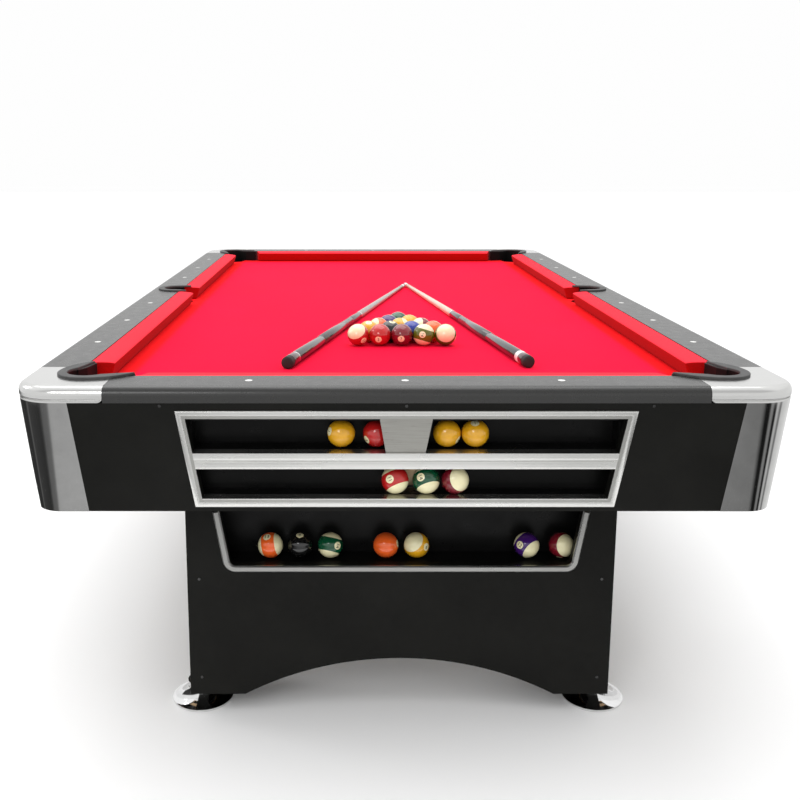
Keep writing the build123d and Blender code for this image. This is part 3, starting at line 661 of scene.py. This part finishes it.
def make_all_balls():
    def by_shelf(found):
        return sorted(found, key=lambda p: (-round(p.z, 2), p.x))

    def by_row(found):
        return sorted(found, key=lambda p: (round(p.y, 2), p.x))

    make_balls("upper_window_balls", [
        ("yellow", False, (1, 0.5, -0.3), (0, 0, 1)), ("red", False, (0.9, 0.6, 0.4), (0, 0, 1)),
        ("yellow", False, (-1, 0.6, 0.5), (0, 0, 1)), ("yellow", False, (0.1, 0.5, -1), (1, 0, 0)),
        ("red", True, (-0.45, -0.85, 0.35), (0.35, -0.45, -0.75)),
        ("green", True, (-0.5, -0.8, 0.5), (0.3, -0.8, -0.9)),
        ("maroon", True, (0.5, -0.1, -0.9), (0.1, -0.55, 0.85)),
    ], by_shelf)
    make_balls("lower_window_balls", [
        ("orange", True, (-0.25, -0.45, 0.9), (1, 0.1, -0.2)),
        ("black", False, (0, -0.3, 1), (1, 0, 0)),
        ("green", True, (0.6, -0.75, 0.25), (-0.2, -0.4, -0.8)),
        ("orange", False, (0.9, -0.2, 0.2), (0, 0, 1)),
        ("yellow", True, (0.75, -0.65, 0.1), (-0.4, -0.6, 0.7)),
        ("purple", True, (-0.7, -0.7, 0.3), (0.6, -0.7, -0.4)),
        ("maroon", True, (0.2, 0.4, 0.9), (0.2, -0.8, -0.3)),
    ], by_shelf)

    make_balls("racked_balls", [
        ("red", True, (0.5, -0.7, -0.4), (-0.5, -0.3, 0.8)),
        ("red", False, (-0.15, -0.8, -0.25), (1, 0, 0)),
        ("maroon", False, (-0.1, -0.85, -0.2), (1, 0, 0)),
        ("olive", True, (0.2, 1, -0.2), (0.15, -0.35, 0.9)),
        ("olive", True, (-0.9, 0.2, 0.3), (0.6, -0.8, 0.1)),
        ("yellow", False, (0, -0.4, 1), (1, 0, 0)), ("black", False, (0.2, -0.2, 1), (1, 0, 0)),
        ("blue", False, (0.1, 0.5, 1), (1, 0, 0)), ("orange", False, (0.3, 0.2, 1), (1, 0, 0)),
        ("orange", True, (0.3, 0.2, 1), (0.9, 0.4, 0)), ("yellow", True, (-0.4, 0.2, 1), (1, 0, 0.3)),
        ("maroon", True, (0.5, 0.2, 1), (1, 0.5, 0)), ("purple", False, (0.2, 0.2, 1), (1, 0, 0)),
        ("yellow", False, (0.1, 0.3, 1), (1, 0, 0)), ("green", False, (0, 0.2, 1), (1, 0, 0)),
    ], by_row)


# ---- cues ----
def make_cue(name, parts):
    """A turned cue along the line of its CAD solid. parts: where each starts, as a share of the
    length, its material, and how far it stands in or out from the taper."""
    points = [v.co.copy() for v in NODES[name].data.vertices]
    ordered = sorted(points, key=lambda p: p.y)
    axis = (ordered[-1] - ordered[0]).normalized()
    for _ in range(3):
        reach = [p.dot(axis) for p in points]
        ends = []
        for limit in (min(reach), max(reach)):
            ring = [p for p, at in zip(points, reach) if abs(at - limit) < 0.002]
            ends.append((sum(ring, Vector()) / len(ring), ring))
        (butt, butt_ring), (tip, tip_ring) = ends
        axis = (tip - butt).normalized()
    along = tip - butt
    side = axis.cross(Vector((0, 0, 1))).normalized()
    up = side.cross(axis)
    butt_r = max(((p - butt) - axis * (p - butt).dot(axis)).length for p in butt_ring)
    tip_r = max(((p - tip) - axis * (p - tip).dot(axis)).length for p in tip_ring)
    rings, marks = [], []
    materials = []
    for i, (start, material, proud) in enumerate(parts):
        stop = parts[i + 1][0] if i + 1 < len(parts) else 1.0
        if material not in materials:
            materials.append(material)
        index = materials.index(material)
        lip, sunk = 0.0006, min(proud, 0) - 0.0002
        inner = [(start + lip, proud), ((start + stop) / 2, proud), (stop - lip, proud)]
        for at, out in [(start, sunk), *inner, (stop, sunk)]:
            rings.append((at, out))
            marks.append(index)
    sides = 40
    verts, faces, index_of = [], [], []
    for at, out in rings:
        r = butt_r + (tip_r - butt_r) * at + out
        for k in range(sides):
            a = 2 * math.pi * k / sides
            verts.append(butt + along * at + (side * math.cos(a) + up * math.sin(a)) * r)
    for i in range(len(rings) - 1):
        for k in range(sides):
            a, b = i * sides + k, i * sides + (k + 1) % sides
            faces.append((a, b, b + sides, a + sides))
            index_of.append(marks[i + 1] if marks[i] != marks[i + 1] else marks[i])
    # A rounded rubber butt and a domed tip.
    for ring, way, r, mark in ((0, -1, butt_r, marks[0]), (len(rings) - 1, 1, tip_r, marks[-1])):
        last = ring * sides
        for inner, out in ((0.85, 0.16), (0.5, 0.26)):
            base = len(verts)
            for k in range(sides):
                a = 2 * math.pi * k / sides
                spot = butt + along * rings[ring][0] + axis * way * r * out * 0.6
                verts.append(spot + (side * math.cos(a) + up * math.sin(a)) * r * inner)
            for k in range(sides):
                faces.append((last + k, last + (k + 1) % sides, base + (k + 1) % sides, base + k))
                index_of.append(mark)
            last = base
        faces.append(tuple(last + k for k in range(sides)))
        index_of.append(mark)
    obj = piece(
        name + "_turned", verts, faces, materials, NODES[name]["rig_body"], [name], 50,
    )
    for polygon, index in zip(obj.data.polygons, index_of):
        polygon.material_index = index


def lacquer(name, color, rough=0.18, grain=None, stretch=(1, 0.04, 1)):
    look = Look(name, color, rough, Coat_Weight=0.5, Coat_Roughness=0.08)
    streak = look.noise(160, 4, stretch)
    look.tint(streak, grain or around(color, 0.15))
    look.bump(streak, 0.04, 0.0001)
    return look.material


def make_cues():
    black = lacquer("cue_black", (0.012, 0.012, 0.014))
    grey = lacquer("cue_grey_stain", (0.05, 0.05, 0.052))
    wine = lacquer("cue_wine", (0.045, 0.006, 0.012))
    maple = lacquer("cue_maple", (0.62, 0.52, 0.40), 0.25)
    ash = lacquer("cue_ash", (0.30, 0.29, 0.27), 0.25)
    white = lacquer("cue_ferrule", (0.85, 0.85, 0.82), 0.3)
    leather = lacquer("cue_leather", (0.08, 0.10, 0.16), 0.9)
    ring = metal("cue_ring", (0.75, 0.75, 0.74), 0.15)
    make_cue("cue_left", [
        (0.0, RUBBER, -0.0005), (0.012, wine, 0), (0.040, ring, 0.0001), (0.043, black, 0),
        (0.20, grey, 0.0004), (0.42, black, 0), (0.494, ring, 0.0002), (0.50, ash, 0),
        (0.975, white, 0), (0.992, leather, 0),
    ])
    make_cue("cue_right", [
        (0.0, RUBBER, -0.0005), (0.010, wine, 0), (0.030, white, 0.0002), (0.045, black, 0),
        (0.22, grey, 0.0004), (0.42, black, 0), (0.494, ring, 0.0002), (0.50, maple, 0),
        (0.975, white, 0), (0.992, leather, 0),
    ])


# ---- mouldings on the return window's trim ----
def offset(points, closed, distance):
    """A path moved inwards, to the left of its direction, with mitred corners."""
    moved = []
    n = len(points)
    for i, p in enumerate(points):
        normals = []
        for a, b in ((i - 1, i), (i, i + 1)):
            if not closed and (a < 0 or b >= n):
                continue
            run = (points[b % n] - points[a % n]).normalized()
            normals.append(Vector((-run.y, run.x)))
        if len(normals) == 1:
            moved.append(p + normals[0] * distance)
        else:
            both = (normals[0] + normals[1]).normalized()
            moved.append(p + both * distance / both.dot(normals[0]))
    return moved


def moulding(name, points, section, closed, material):
    """A strip along a path on the apron's slanted face. section: distance in from the path, and
    height over the face, in millimetres."""
    cos, sin = math.cos(SLANT), math.sin(SLANT)
    verts, faces = [], []
    n = len(points)
    for distance, height in section:
        for p in offset(points, closed, distance * MM):
            y = apron_y(p.y)
            verts.append(Vector((p.x, y - height * MM * cos, p.y - height * MM * sin)))
    for k in range(len(section) - 1):
        for i in range(n if closed else n - 1):
            j = (i + 1) % n
            faces.append((k * n + i, k * n + j, (k + 1) * n + j, (k + 1) * n + i))
    if not closed:
        for i in (0, n - 1):
            faces.append(tuple(k * n + i for k in range(len(section))))
    return piece(name, verts, faces, [material], sharp=40)


# The return window's trim: its lower and upper edge, and its half width at a height.
TRIM_LOW, TRIM_HIGH = 0.544, 0.752
TRIM_HALF, TRIM_FLARE = 0.427, 0.15625
SHELF_LOW = 0.628
RIB_PITCH = 0.0195
RIB_WIDTH = 14.5
SIDE_BAR = 0.0165


def trim_half(z):
    return TRIM_HALF + TRIM_FLARE * (z - TRIM_LOW)


def make_trim_mouldings():
    path = [
        Vector((side * trim_half(z), z))
        for side, z in ((-1, TRIM_LOW), (1, TRIM_LOW), (1, TRIM_HIGH), (-1, TRIM_HIGH))
    ]
    band = [(0.3, 2.8), (0.7, 4.0), (1.4, 4.4), (9.4, 4.2), (10.0, 3.8), (10.3, 2.8)]
    step = [(10.5, 2.8), (10.8, 3.5), (16.4, 3.2), (16.8, 2.8)]
    moulding("trim_band", path, band, True, TRIM)
    moulding("trim_step", path, step, True, TRIM_STEP)
    rib = [(0.3, 2.8), (0.8, 3.9), (2.0, 4.3), (RIB_WIDTH / 2, 3.5)]
    rib += [(RIB_WIDTH - distance, height) for distance, height in reversed(rib[:3])]
    for k, z in enumerate((SHELF_LOW, SHELF_LOW + RIB_PITCH)):
        path = [Vector((-trim_half(z) + SIDE_BAR, z)), Vector((trim_half(z) - SIDE_BAR, z))]
        moulding(f"shelf_rib_{k + 1}", path, rib, False, TRIM)


make_cloth()
make_cushions()
make_all_balls()
make_cues()
make_trim_mouldings()


# ---- floor, light and camera ----
def plane(name, corners, material):
    mesh = bpy.data.meshes.new(name)
    mesh.from_pydata(corners, [], [(0, 1, 2, 3)])
    mesh.materials.append(material)
    obj = bpy.data.objects.new(name, mesh)
    bpy.context.scene.collection.objects.link(obj)
    return obj


look = Look("pale_floor", (0.95, 0.95, 0.95), 0.8, Specular_IOR_Level=0.2)
look.tint(look.noise(0.8, 2), around((0.95, 0.95, 0.95), 0.01))
plane("floor", [(-30, -30, 0), (30, -30, 0), (30, 30, 0), (-30, 30, 0)], look.material)


def area(name, place, aim, size, power):
    light = bpy.data.lights.new(name, "AREA")
    light.shape, light.size, light.size_y = "RECTANGLE", size[0], size[1]
    light.energy = power
    obj = bpy.data.objects.new(name, light)
    bpy.context.scene.collection.objects.link(obj)
    obj.location = place
    obj.rotation_euler = (Vector(aim) - Vector(place)).to_track_quat("-Z", "Y").to_euler()


area("top_light", (-0.3, 0.3, 3.8), (0, 0.1, 0.8), (3.0, 4.6), 70)
area("front_light", (-1.8, -5.4, 3.0), (0, -1.0, 0.5), (1.4, 1.6), 34)
area("left_light", (-5.0, 0.5, 2.6), (0, 0.2, 0.7), (1.2, 3.0), 40)

# What polished parts reflect at eye level: a ring of lighter and darker panels that only
# reflections see. Each stop is a bearing in degrees, from +X towards +Y, and its brightness.
PANELS = [
    (-180, 0.05), (-158, 0.03), (-149.5, 0.03), (-148.3, 0.15), (-146.5, 0.05), (-138, 0.035),
    (-134.6, 0.03), (-134.2, 0.0), (-133, 0.11), (-127, 0.14), (-125.5, 0.36), (-117, 0.40),
    (-112, 0.66), (-90, 0.74), (-66, 0.66), (-60, 0.36), (-57, 0.20), (-53, 0.17), (-51.5, 0.01),
    (-47.5, 0.01), (-46.5, 0.22), (-45, 0.22), (-44, 0.01), (-42, 0.01), (-41, 0.5), (-39.5, 0.5),
    (-38.5, 0.19), (-36.5, 0.19), (-35, 0.62), (-20, 0.75), (90, 0.85), (120, 1.0),
]
PANEL_TOP = 1.1
PANEL_TURNS = 96
ROOM = (1.7, 2.4)         # the ring's half width and half length
PALE = 0.95               # its upper part, which the castings' edges reflect
FLOOR_GLOW = 0.99         # the backdrop behind the table
OVERHEAD, WALL = 1.15, 1.05           # what reflections see, overhead and at eye level
SKYLIGHT, SIDE_LIGHT = 1.35, 0.45     # what lights matt surfaces, from the same places


def make_room():
    """Reflections see an even, pale room, and matt surfaces are lit mostly from overhead."""
    world = bpy.data.worlds.new("studio")
    bpy.context.scene.world = world
    world.use_nodes = True
    tree = world.node_tree
    link = tree.links.new
    direction = node(tree, "ShaderNodeSeparateXYZ")
    link(node(tree, "ShaderNodeTexCoord").outputs["Generated"], direction.inputs[0])
    ray = node(tree, "ShaderNodeLightPath")

    def either(choice, no, yes):
        made = node(tree, "ShaderNodeMix", data_type="FLOAT")
        for socket, value in ((made.inputs[0], choice), (made.inputs[2], no), (made.inputs[3], yes)):
            if isinstance(value, float):
                socket.default_value = value
            else:
                link(value, socket)
        return made.outputs[0]

    up = direction.outputs["Z"]
    # The room is darker behind the camera, which keeps the castings' shoulders from glaring.
    reflected = node(tree, "ShaderNodeMath", operation="MULTIPLY")
    link(map_range(tree, up, (0.35, 0.75), (WALL, OVERHEAD)), reflected.inputs[0])
    link(map_range(tree, direction.outputs["Y"], (-0.55, -0.1), (0.62, 1.0)), reflected.inputs[1])
    lighting = map_range(tree, up, (0.1, 0.8), (SIDE_LIGHT, SKYLIGHT))
    lit = either(ray.outputs["Is Diffuse Ray"], reflected.outputs[0], lighting)
    background = tree.nodes["Background"]
    link(either(ray.outputs["Is Camera Ray"], lit, FLOOR_GLOW), background.inputs["Color"])
    background.inputs["Strength"].default_value = 1.0


def panel_look():
    """Brightness by bearing, and pale above the height that the castings' edges reflect."""
    material = bpy.data.materials.new("panels")
    material.use_nodes = True
    tree = material.node_tree
    link = tree.links.new
    place = node(tree, "ShaderNodeSeparateXYZ")
    link(node(tree, "ShaderNodeTexCoord").outputs["Object"], place.inputs[0])
    bearing = node(tree, "ShaderNodeMath", operation="ARCTAN2")
    link(place.outputs["Y"], bearing.inputs[0])
    link(place.outputs["X"], bearing.inputs[1])
    panels = node(tree, "ShaderNodeValToRGB")
    line = panels.color_ramp
    while len(line.elements) < len(PANELS):
        line.elements.new(0.5)
    for element, (degrees, light) in zip(line.elements, PANELS):
        element.position = (degrees + 180) / 360
        element.color = (light, light, light, 1)
    share = map_range(tree, bearing.outputs[0], (-math.pi, math.pi), (0, 1), "LINEAR")
    link(share, panels.inputs["Fac"])
    shade = node(tree, "ShaderNodeMix", data_type="RGBA")
    link(map_range(tree, place.outputs["Z"], (0.52, 0.60), (0, 1)), shade.inputs[0])
    link(panels.outputs["Color"], shade.inputs[6])
    shade.inputs[7].default_value = (PALE, PALE, PALE, 1)
    glow = node(tree, "ShaderNodeEmission", Strength=1.0)
    link(shade.outputs[2], glow.inputs["Color"])
    link(glow.outputs[0], tree.nodes["Material Output"].inputs["Surface"])
    return material


def make_panels():
    n = PANEL_TURNS
    turn = 2 * math.pi / n
    verts = [
        (math.cos(k * turn), math.sin(k * turn), z) for z in (0.004, PANEL_TOP) for k in range(n)
    ]
    mesh = bpy.data.meshes.new("panel_ring")
    mesh.from_pydata(verts, [], [(k, (k + 1) % n, n + (k + 1) % n, n + k) for k in range(n)])
    mesh.materials.append(panel_look())
    ring = bpy.data.objects.new("panel_ring", mesh)
    bpy.context.scene.collection.objects.link(ring)
    ring.scale = (*ROOM, 1)
    ring.visible_camera = False
    ring.visible_diffuse = False
    ring.visible_shadow = False
    ring.visible_transmission = False


make_room()
make_panels()

# The photograph's camera: its height, how far it stands from the foot end, and its tilt.
CAMERA_X, CAMERA_BACK, CAMERA_Z = -0.114, 1.849, 1.2496
CAMERA_DOWN = 10.6
cam = bpy.data.cameras.new("camera")
cam.sensor_width = 36.0
cam.lens = 43.47
cam.shift_x = 0.06375
cam.shift_y = -0.08025
cam.clip_end = 200
camera = bpy.data.objects.new("camera", cam)
bpy.context.scene.collection.objects.link(camera)
camera.location = (CAMERA_X, cad_box[0][1] - CAMERA_BACK, CAMERA_Z)
camera.rotation_euler = (math.radians(90 - CAMERA_DOWN), 0, 0)
bpy.context.scene.camera = camera
bpy.context.scene.view_settings.view_transform = "Standard"
